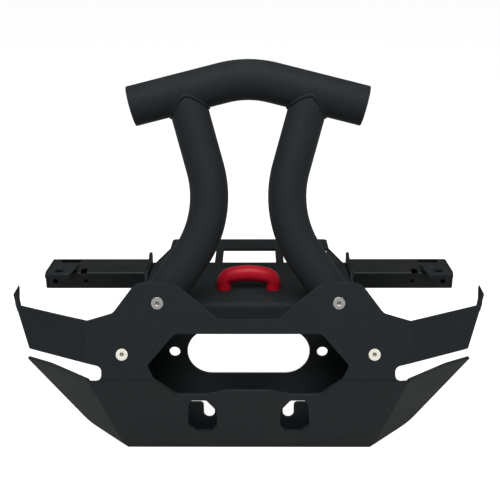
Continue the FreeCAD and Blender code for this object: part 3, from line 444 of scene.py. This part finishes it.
def weld_bead(name, points, radius, closed=True):
    """A rippled bead along a path, half sunk in the pieces that it joins; open ends taper."""
    welds = settings("welds")
    route = spaced(points, closed, welds.pitch / STEPS_PER_RIPPLE)
    taper = 0 if closed else STEPS_PER_RIPPLE
    bpy.ops.object.select_all(action="DESELECT")
    bpy.ops.curve.primitive_nurbs_path_add(radius=radius)
    bead = bpy.context.active_object
    bead.name = name
    curve = bead.data
    curve.dimensions = "3D"
    spline = curve.splines[0]
    spline.type = "POLY"
    spline.points.add(len(route) - len(spline.points))
    spline.use_cyclic_u = closed
    for number, place in enumerate(route):
        wave = abs(math.sin(math.pi * number / STEPS_PER_RIPPLE))
        thickness = 1.0 - welds.ripple * (1.0 - wave)
        from_end = min(number, len(route) - 1 - number)
        if from_end < taper:
            thickness *= math.sqrt((from_end + END_THICKNESS) / (taper + END_THICKNESS))
        spline.points[number].co = (*place, 1.0)
        spline.points[number].radius = thickness
    curve.bevel_depth = radius
    curve.bevel_resolution = 2
    curve.use_fill_caps = True
    bpy.ops.object.convert(target="MESH")
    bead = bpy.context.active_object
    bead.data.name = name
    in_edit_mode(merge_doubles, lambda: bpy.ops.mesh.normals_make_consistent(inside=False))
    bpy.ops.object.shade_smooth_by_angle(angle=math.radians(BEAD_TURN))
    finish_piece(bead, "black_coat")


# Finishes

# How many patches of each pattern lie side by side on a metre
TONE_PATCHES = 22.0
EDGE_MARK_PATCHES = 160.0
DUST_PATCHES = 55.0
TURNING_MARKS = 2600.0

# The noise's value where each pattern begins, and where it is at its full strength
TONE_NOISE = (0.3, 0.7)
EDGE_MARK_NOISE = (0.42, 0.62)
DUST_NOISE = (0.4, 0.7)
SPECKLE_NOISE = (0.35, 0.65)
MARKS_NOISE = (0.2, 0.8)

# Where a mask begins and is full: cosine of an edge's turn, upward part of a normal, openness
EDGE_COSINE = (0.995, 0.9)
UPWARD_PART = (0.3, 1.0)
OPENNESS = (0.75, 0.3)

# Tones as shares of a finish's own colour, and the change of its roughness
LOW_TONE = 0.88
SPECKLE_TONE = 1.8
SPECKLE_SHARE = 0.3
COAT_ROUGHNESS = (-0.03, 0.03)
MARK_TONES = (0.9, 1.05)
MARK_STRETCH = (1.0, 1.0, 0.12)
MARK_ROUGHNESS = (-0.06, 0.08)

DUST = (0.35, 0.33, 0.3)
# Colour of the painted shade in sockets and other narrow recesses
RECESS_SHADE = (0.02, 0.02, 0.02)

# The colour mixer's sockets, by their place
FACTOR, FIRST_COLOUR, SECOND_COLOUR, MIXED_COLOUR = 0, 6, 7, 2


def new_group(name, inputs, outputs):
    """A shader node group with its sockets: (label, default) per input, a label per output."""
    group = bpy.data.node_groups.new(name, "ShaderNodeTree")
    for label, default in inputs:
        socket = group.interface.new_socket(
            name=label, in_out="INPUT", socket_type="NodeSocketFloat")
        socket.default_value = default
    for label in outputs:
        group.interface.new_socket(name=label, in_out="OUTPUT", socket_type="NodeSocketFloat")
    return group, group.nodes.new("NodeGroupInput"), group.nodes.new("NodeGroupOutput")


def math_node(tree, operation, first, second, clamp=False):
    """A math node on two values, each a socket or a number."""
    node = tree.nodes.new("ShaderNodeMath")
    node.operation = operation
    node.use_clamp = clamp
    for socket, value in zip(node.inputs, (first, second)):
        if isinstance(value, (int, float)):
            socket.default_value = value
        else:
            tree.links.new(value, socket)
    return node.outputs["Value"]


def remap(tree, value, low, high, new_low=0.0, new_high=1.0):
    node = tree.nodes.new("ShaderNodeMapRange")
    node.inputs["From Min"].default_value = low
    node.inputs["From Max"].default_value = high
    node.inputs["To Min"].default_value = new_low
    node.inputs["To Max"].default_value = new_high
    tree.links.new(value, node.inputs["Value"])
    return node.outputs["Result"]


def noise(tree, place, scale, detail, roughness=0.5):
    """A noise texture; its scale is a number or a socket."""
    node = tree.nodes.new("ShaderNodeTexNoise")
    node.inputs["Detail"].default_value = detail
    node.inputs["Roughness"].default_value = roughness
    tree.links.new(place, node.inputs["Vector"])
    if isinstance(scale, (int, float)):
        node.inputs["Scale"].default_value = scale
    else:
        tree.links.new(scale, node.inputs["Scale"])
    return node.outputs["Fac"]


def object_place(tree):
    return tree.nodes.new("ShaderNodeTexCoord").outputs["Object"]


def make_grain_group():
    """Fine texture of a powder coat: a height for the bump, and a slow change of tone."""
    tree, given, result = new_group(
        "coat_grain", (("Grain Size", 0.0008), ("Peel Size", 0.004), ("Peel Share", 0.4)),
        ("Height", "Tone"))
    place = object_place(tree)
    grains = math_node(tree, "DIVIDE", 1.0, given.outputs["Grain Size"])
    peels = math_node(tree, "DIVIDE", 1.0, given.outputs["Peel Size"])
    grain = noise(tree, place, grains, detail=2.0, roughness=0.6)
    peel = noise(tree, place, peels, detail=1.0)
    grain_share = math_node(tree, "SUBTRACT", 1.0, given.outputs["Peel Share"])
    fine = math_node(tree, "MULTIPLY", grain, grain_share)
    slow = math_node(tree, "MULTIPLY", peel, given.outputs["Peel Share"])
    tree.links.new(math_node(tree, "ADD", fine, slow), result.inputs["Height"])
    drift = noise(tree, place, TONE_PATCHES, detail=3.0)
    tree.links.new(remap(tree, drift, *TONE_NOISE), result.inputs["Tone"])


def make_wear_and_highlight_group():
    """Mask of the lighter edges: partly thin, rubbed coat, partly painted highlight along the
    edges.
    """
    tree, given, result = new_group("edge_wear_and_highlight", (("Width", 0.001), ("Amount", 0.5)), ("Mask",))
    rounded = tree.nodes.new("ShaderNodeBevel")
    rounded.samples = 4
    tree.links.new(given.outputs["Width"], rounded.inputs["Radius"])
    geometry = tree.nodes.new("ShaderNodeNewGeometry")
    dot = tree.nodes.new("ShaderNodeVectorMath")
    dot.operation = "DOT_PRODUCT"
    tree.links.new(rounded.outputs["Normal"], dot.inputs[0])
    tree.links.new(geometry.outputs["Normal"], dot.inputs[1])
    turned = remap(tree, dot.outputs["Value"], *EDGE_COSINE)
    cloud = noise(tree, object_place(tree), EDGE_MARK_PATCHES, detail=4.0, roughness=0.7)
    mask = math_node(tree, "MULTIPLY", turned, remap(tree, cloud, *EDGE_MARK_NOISE))
    amount = math_node(tree, "MULTIPLY", mask, given.outputs["Amount"], clamp=True)
    tree.links.new(amount, result.inputs["Mask"])


def make_dust_group():
    """Mask of the thin dust on faces that look up."""
    tree, given, result = new_group("settled_dust", (("Amount", 0.05),), ("Mask",))
    geometry = tree.nodes.new("ShaderNodeNewGeometry")
    split = tree.nodes.new("ShaderNodeSeparateXYZ")
    tree.links.new(geometry.outputs["Normal"], split.inputs["Vector"])
    upward = remap(tree, split.outputs["Z"], *UPWARD_PART)
    cloud = noise(tree, object_place(tree), DUST_PATCHES, detail=5.0, roughness=0.65)
    mask = math_node(tree, "MULTIPLY", upward, remap(tree, cloud, *DUST_NOISE))
    amount = math_node(tree, "MULTIPLY", mask, given.outputs["Amount"], clamp=True)
    tree.links.new(amount, result.inputs["Mask"])


def make_recess_group():
    """Mask of the narrow recesses, where little light gets in."""
    tree, given, result = new_group("recess_shade", (("Depth", 0.003),), ("Mask",))
    shade = tree.nodes.new("ShaderNodeAmbientOcclusion")
    shade.samples = 8
    shade.only_local = True
    tree.links.new(given.outputs["Depth"], shade.inputs["Distance"])
    tree.links.new(remap(tree, shade.outputs["AO"], *OPENNESS), result.inputs["Mask"])


def place_group(tree, name, **values):
    """A group's node, with its input "Peel Size" given as peel_size, and so on."""
    node = tree.nodes.new("ShaderNodeGroup")
    node.node_tree = bpy.data.node_groups[name]
    for label, value in values.items():
        node.inputs[label.replace("_", " ").title()].default_value = value
    return node


def mix_colour(tree, factor, first, second):
    """A colour mixed by a factor; each colour is a socket or an RGB triple."""
    node = tree.nodes.new("ShaderNodeMix")
    node.data_type = "RGBA"
    tree.links.new(factor, node.inputs[FACTOR])
    for index, value in ((FIRST_COLOUR, first), (SECOND_COLOUR, second)):
        if isinstance(value, bpy.types.NodeSocket):
            tree.links.new(value, node.inputs[index])
        else:
            node.inputs[index].default_value = (*value, 1.0)
    return node.outputs[MIXED_COLOUR]


def toned(colour, share):
    return [min(1.0, part * share) for part in colour]


def new_material(slot):
    material = bpy.data.materials.new(slot + FINISH)
    material.use_nodes = True
    return material.node_tree, material.node_tree.nodes["Principled BSDF"]


def make_coat(slot, colour, roughness, specular, worn_and_lit_colour):
    """A powder coat: fine grain, slow drift of tone, lighter edges that are partly rubbed coat and
    partly painted highlight, and a little dust.
    """
    coats = settings("coats")
    tree, shader = new_material(slot)
    grain = place_group(tree, "coat_grain", grain_size=coats.grain_size,
                        peel_size=coats.peel_size, peel_share=coats.peel_share)
    wear_and_highlight = place_group(tree, "edge_wear_and_highlight", width=coats.wear_and_highlight_width, amount=coats.wear_and_highlight)
    dust = place_group(tree, "settled_dust", amount=coats.dust)
    tone, height = grain.outputs["Tone"], grain.outputs["Height"]
    drift = mix_colour(tree, tone, toned(colour, LOW_TONE), colour)
    speckle = remap(tree, height, *SPECKLE_NOISE, 0.0, SPECKLE_SHARE)
    base = mix_colour(tree, speckle, drift, toned(colour, SPECKLE_TONE))
    # Lighter edges: partly rubbed coat, partly painted highlight
    rubbed_and_lit = mix_colour(tree, wear_and_highlight.outputs["Mask"], base, worn_and_lit_colour)
    dusty = mix_colour(tree, dust.outputs["Mask"], rubbed_and_lit, DUST)
    tree.links.new(dusty, shader.inputs["Base Color"])
    limits = [roughness + change for change in COAT_ROUGHNESS]
    tree.links.new(remap(tree, tone, 0.0, 1.0, *limits), shader.inputs["Roughness"])
    bump = tree.nodes.new("ShaderNodeBump")
    bump.inputs["Strength"].default_value = coats.relief_strength
    bump.inputs["Distance"].default_value = coats.relief
    tree.links.new(height, bump.inputs["Height"])
    tree.links.new(bump.outputs["Normal"], shader.inputs["Normal"])
    shader.inputs["Specular IOR Level"].default_value = specular


def make_steel(slot, colour, roughness, metallic=1.0):
    """Plated or bare steel with fine turning marks, and painted shade where it is recessed."""
    steel = settings("steel")
    tree, shader = new_material(slot)
    stretch = tree.nodes.new("ShaderNodeMapping")
    stretch.inputs["Scale"].default_value = MARK_STRETCH
    tree.links.new(object_place(tree), stretch.inputs["Vector"])
    marks = noise(tree, stretch.outputs["Vector"], TURNING_MARKS, detail=3.0, roughness=0.6)
    dust = place_group(tree, "settled_dust", amount=steel.dust)
    recess = place_group(tree, "recess_shade", depth=steel.recess)
    marked = mix_colour(tree, marks, *(toned(colour, share) for share in MARK_TONES))
    dusty = mix_colour(tree, dust.outputs["Mask"], marked, DUST)
    # Painted shade in sockets and other narrow recesses
    shaded = mix_colour(tree, recess.outputs["Mask"], dusty, RECESS_SHADE)
    tree.links.new(shaded, shader.inputs["Base Color"])
    limits = [roughness + change for change in MARK_ROUGHNESS]
    tree.links.new(remap(tree, marks, *MARKS_NOISE, *limits), shader.inputs["Roughness"])
    shader.inputs["Metallic"].default_value = metallic


class BUMPER_OT_finishes(Operator):
    """Mix the powder coats and the steels"""

    bl_idname = "bumper.finishes"
    bl_label = "Finishes"

    def execute(self, context):
        coats = settings("coats")
        steel = settings("steel")
        make_grain_group()
        make_wear_and_highlight_group()
        make_dust_group()
        make_recess_group()
        # The arms' coat is a darker copy of the black coat: partly its own colour, partly painted
        # shade
        smooth = toned(coats.black, coats.smooth_shade_tone)
        make_coat("black_coat", coats.black, coats.black_roughness,
                  coats.black_specular, coats.black_worn_and_lit)
        make_coat("smooth_shaded_coat", smooth, coats.smooth_roughness,
                  coats.smooth_specular, coats.smooth_worn_and_lit)
        make_coat("red_coat", coats.red, coats.red_roughness,
                  coats.smooth_specular, coats.red_worn_and_lit)
        make_steel("screw_steel", steel.plated, steel.plated_roughness)
        make_steel("pale_screw", steel.pale, steel.pale_roughness, steel.pale_metal)
        make_steel("plain_steel", steel.bare, steel.bare_roughness)
        return {"FINISHED"}


# The bumper's pieces

# The wings' ends: how far they are lengthened, between which distances from the middle that
# grows, and how much of it also goes backwards, because the ends are swept
WING_STRETCH = 0.0029
STRETCH_BEGINS, STRETCH_FULL = 0.19, 0.225
BACKWARD_SHARE = 0.6

# The upturned fins: from where to where in depth and height their lowering grows, how far they
# come down at the front, and how much further at the back
FIN_BEGINS, FIN_FULL = -0.011, -0.004
FIN_FOOT, FIN_TOP = 0.05, 0.07
SLOPE_FRONT, SLOPE_LENGTH = -0.005, 0.02
FIN_DROP, FIN_DROP_BEHIND = 0.0021, 0.0045

# The tow loop's arch: how much deeper its underside is, between which heights above the feet
# that grows, and between which distances from the middle it fades out
ARCH_DEPTH = 0.0021
ARCH_BEGINS, ARCH_FULL = 0.004, 0.012
ARCH_MIDDLE, ARCH_SIDE = 0.013, 0.024

# How near to a leg's top and to an arm's inner end the seams for their weld beads lie
SADDLE_REACH = 0.05
MOUTH_REACH = 0.0002

# Places of the short beads, as shares of the tray's depth and of the fairlead plate's height
TRAY_STITCHES = (0.22, 0.52, 0.82)
FAIRLEAD_STITCHES = (0.3, 0.72)


def ramp(value, low, high):
    """0 below low, 1 above high, and smooth between them."""
    share = min(1.0, max(0.0, (value - low) / (high - low)))
    return share * share * (3 - 2 * share)


def shape_wing_end(place):
    """Lengthen a wing a little, and bring its upturned fin down to the height of the real ones."""
    if abs(place.x) < STRETCH_BEGINS:
        return
    outward = WING_STRETCH * ramp(abs(place.x), STRETCH_BEGINS, STRETCH_FULL)
    place.x = math.copysign(min(WIDEST, abs(place.x) + outward), place.x)
    place.y += BACKWARD_SHARE * outward
    on_fin = ramp(place.y, FIN_BEGINS, FIN_FULL) * ramp(place.z, FIN_FOOT, FIN_TOP)
    behind = min(1.0, max(0.0, (place.y - SLOPE_FRONT) / SLOPE_LENGTH))
    place.z -= on_fin * (FIN_DROP + FIN_DROP_BEHIND * behind)


class BUMPER_OT_sheets(Operator):
    """Dress the face plate, fairlead plate with its tray, side plates and lower brace"""

    bl_idname = "bumper.sheets"
    bl_label = "Folded sheets"

    def execute(self, context):
        width = settings("edges").sheet
        dress("face_plate", width, flat=FACE_PLATE_TURN, reshape=shape_wing_end)
        for node in ("fairlead_tray", "side_plate_right", "side_plate_left", "lower_brace"):
            dress(node, width)
        return {"FINISHED"}


class BUMPER_OT_hoop(Operator):
    """Dress the bent legs and the top bar with its end caps"""

    bl_idname = "bumper.hoop"
    bl_label = "Hoop"

    def execute(self, context):
        dress_smooth("top_bar")
        for side in SIDES:
            dress_smooth("leg_" + side)
            dress_smooth("bar_cap_" + side, turn=CAP_TURN)
        return {"FINISHED"}


class BUMPER_OT_arms(Operator):
    """Dress the side arms with their caps and raised tabs"""

    bl_idname = "bumper.arms"
    bl_label = "Side arms"

    def execute(self, context):
        width = settings("edges").tube
        for side in SIDES:
            # The arms get the darker coat: partly its own colour, partly painted shade on their
            # fronts
            dress("arm_" + side, width, finish="smooth_shaded_coat")
            dress("arm_cap_" + side, width, finish="smooth_shaded_coat")
            dress("arm_tab_" + side, width)
        return {"FINISHED"}


class BUMPER_OT_tow_loop(Operator):
    """Dress the red tow loop, with the deeper underside of its arch"""

    bl_idname = "bumper.tow_loop"
    bl_label = "Tow loop"

    def execute(self, context):
        loop = dress_smooth("tow_loop", "red_coat")
        foot_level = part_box("tow_loop")[0].z
        for vertex in loop.data.vertices:
            height = vertex.co.z - foot_level
            underside = max(0.0, -vertex.normal.z) * ramp(height, ARCH_BEGINS, ARCH_FULL)
            middle = 1.0 - ramp(abs(vertex.co.x), ARCH_MIDDLE, ARCH_SIDE)
            vertex.co.z -= ARCH_DEPTH * underside * middle
        return {"FINISHED"}


class BUMPER_OT_fasteners(Operator):
    """Dress the countersunk screws and the bosses behind them"""

    bl_idname = "bumper.fasteners"
    bl_label = "Screws and bosses"

    def execute(self, context):
        width = settings("edges").screw
        for side in SIDES:
            dress("face_screw_upper_" + side, width, "screw_steel")
            dress("face_screw_lower_" + side, width, "screw_steel", finish="pale_screw")
            for level in ("upper_", "lower_"):
                dress("screw_boss_" + level + side, width, "plain_steel")
        return {"FINISHED"}


class BUMPER_OT_rear_frame(Operator):
    """Dress the cross bar behind the tray, its struts and its braces"""

    bl_idname = "bumper.rear_frame"
    bl_label = "Rear frame"

    def execute(self, context):
        width = settings("edges").tube
        dress("rear_bar", width)
        for side in SIDES:
            dress("rear_strut_" + side, width)
            dress("rear_brace_" + side, width)
        return {"FINISHED"}


class BUMPER_OT_welds(Operator):
    """Lay the weld beads between tubes and sheets"""

    bl_idname = "bumper.welds"
    bl_label = "Weld beads"

    def execute(self, context):
        welds = settings("welds")
        for side, sign in SIDES.items():
            leg_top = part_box("leg_" + side)[1].z
            saddle = sharp_loops("leg_" + side, lambda place: place.z > leg_top - SADDLE_REACH)[0]
            weld_bead("saddle_bead_" + side, saddle, welds.saddle)
            low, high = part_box("arm_" + side)
            inner = low.x if sign > 0 else high.x
            mouth = sharp_loops("arm_" + side, lambda place: abs(place.x - inner) < MOUTH_REACH)[0]
            weld_bead("arm_bead_" + side, mouth, welds.arm)
        self.lay_stitches(welds)
        return {"FINISHED"}

    def lay_stitches(self, welds):
        """Short beads in the inner corners of tray, fairlead plate, side plates and brace."""
        low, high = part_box("fairlead_tray")
        brace_low, brace_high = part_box("lower_brace")
        thickness = brace_high.y - brace_low.y
        under_tray = high.z - thickness
        backward = Vector((0, welds.stitch_length / 2, 0))
        upward = Vector((0, 0, welds.stitch_length / 2))

        def lay_stitch(name, middle, half):
            weld_bead(name, [middle - half, middle + half], welds.stitch, closed=False)

        for side, sign in SIDES.items():
            wall = sign * high.x
            for number, share in enumerate(TRAY_STITCHES, start=1):
                middle = Vector((wall, low.y + share * (high.y - low.y), under_tray))
                lay_stitch("tray_stitch_%d_%s" % (number, side), middle, backward)
            for number, share in enumerate(FAIRLEAD_STITCHES, start=1):
                middle = Vector((wall, thickness, low.z + share * (under_tray - low.z)))
                lay_stitch("fairlead_stitch_%d_%s" % (number, side), middle, upward)
            middle = Vector((wall, thickness, (brace_low.z + brace_high.z) / 2))
            lay_stitch("brace_stitch_" + side, middle, upward)


# Studio

SENSOR_WIDTH = 36.0
VIEW_REACH = 100.0
FLOOR_ROUGHNESS = 0.9
WHITE = (1.0, 1.0, 1.0, 1.0)


def area_lamp(name, place, size, target, power):
    """A rectangular lamp that faces a point."""
    bpy.ops.object.light_add(type="AREA", location=place)
    lamp = bpy.context.active_object
    lamp.name = name
    lamp.data.shape = "RECTANGLE"
    lamp.data.size, lamp.data.size_y = size
    lamp.data.energy = power
    lamp.rotation_euler = (Vector(target) - lamp.location).to_track_quat("-Z", "Y").to_euler()


class BUMPER_OT_stage(Operator):
    """Set up the floor, the sky, the lamps and the camera"""

    bl_idname = "bumper.stage"
    bl_label = "Stage"

    def execute(self, context):
        stage = settings("stage")
        bpy.ops.object.select_all(action="DESELECT")
        self.lay_floor(stage)
        self.set_sky(stage)
        area_lamp("key_lamp", stage.key_place, stage.key_size, stage.lit_point, stage.key)
        area_lamp("fill_lamp", stage.fill_place, stage.fill_size, stage.lit_point, stage.fill)
        self.set_camera(stage)
        context.scene.view_settings.view_transform = "Standard"
        return {"FINISHED"}

    def lay_floor(self, stage):
        """A wide floor that looks white to the camera and in reflections, and keeps its shadow."""
        bpy.ops.mesh.primitive_plane_add(size=stage.floor_size, location=(0, 0, FLOOR_LEVEL))
        floor = bpy.context.active_object
        floor.name = "floor"
        bpy.ops.object.transform_apply(location=True, rotation=True, scale=True)
        tree, shader = new_material("floor")
        shader.inputs["Base Color"].default_value = (*stage.floor, 1.0)
        shader.inputs["Roughness"].default_value = FLOOR_ROUGHNESS
        shader.inputs["Specular IOR Level"].default_value = 0.0
        shader.inputs["Emission Color"].default_value = WHITE
        light_path = tree.nodes.new("ShaderNodeLightPath")
        seen, mirrored = light_path.outputs["Is Camera Ray"], light_path.outputs["Is Glossy Ray"]
        glow = math_node(tree, "ADD", math_node(tree, "MULTIPLY", seen, stage.floor_glow),
                         math_node(tree, "MULTIPLY", mirrored, stage.mirrored_glow))
        tree.links.new(glow, shader.inputs["Emission Strength"])
        floor.data.materials.append(bpy.data.materials["floor" + FINISH])

    def set_sky(self, stage):
        """A sky that is white to the camera, and dimmer in reflections and as a light."""
        world = bpy.data.worlds.new("studio_sky")
        world.use_nodes = True
        tree = world.node_tree
        background = tree.nodes["Background"]
        background.inputs["Color"].default_value = WHITE
        light_path = tree.nodes.new("ShaderNodeLightPath")
        seen, glossy = light_path.outputs["Is Camera Ray"], light_path.outputs["Is Glossy Ray"]
        mirrored = math_node(tree, "MULTIPLY", glossy, stage.mirrored_sky)
        bright = math_node(tree, "MAXIMUM", seen, mirrored)
        strength = math_node(tree, "MAXIMUM", bright, stage.sky)
        tree.links.new(strength, background.inputs["Strength"])
        bpy.context.scene.world = world

    def set_camera(self, stage):
        bpy.ops.object.camera_add(location=stage.camera_place)
        camera = bpy.context.active_object
        camera.name = "photo_camera"
        upright = Euler((math.pi / 2 - stage.camera_drop, 0.0, stage.camera_turn))
        lean = Matrix.Rotation(-stage.camera_lean, 3, "Z")
        camera.rotation_euler = (upright.to_matrix() @ lean).to_euler()
        camera.data.sensor_fit = "HORIZONTAL"
        camera.data.sensor_width = SENSOR_WIDTH
        camera.data.lens = stage.focal_length
        camera.data.clip_end = VIEW_REACH
        bpy.context.scene.camera = camera


OPERATORS = (
    BUMPER_OT_finishes,
    BUMPER_OT_sheets,
    BUMPER_OT_hoop,
    BUMPER_OT_arms,
    BUMPER_OT_tow_loop,
    BUMPER_OT_fasteners,
    BUMPER_OT_rear_frame,
    BUMPER_OT_welds,
    BUMPER_OT_stage,
)


class BUMPER_PT_steps(Panel):
    """The steps that dress the bumper, in order"""

    bl_idname = "BUMPER_PT_steps"
    bl_label = "Front bumper"
    bl_space_type = "VIEW_3D"
    bl_region_type = "UI"
    bl_category = "Bumper"

    def draw(self, context):
        for operator in OPERATORS:
            self.layout.operator(operator.bl_idname)


GROUPS = {
    "coats": CoatSettings,
    "steel": SteelSettings,
    "edges": EdgeSettings,
    "welds": WeldSettings,
    "stage": StageSettings,
}


def register():
    for item in (*GROUPS.values(), *OPERATORS, BUMPER_PT_steps):
        bpy.utils.register_class(item)
    for name, group in GROUPS.items():
        setattr(bpy.types.Scene, "bumper_" + name, PointerProperty(type=group))


def unregister():
    for name in GROUPS:
        delattr(bpy.types.Scene, "bumper_" + name)
    for item in (BUMPER_PT_steps, *reversed(OPERATORS), *GROUPS.values()):
        bpy.utils.unregister_class(item)


def main():
    register()
    for operator in OPERATORS:
        family, step = operator.bl_idname.split(".")
        getattr(getattr(bpy.ops, family), step)()


if __name__ == "__main__":
    main()
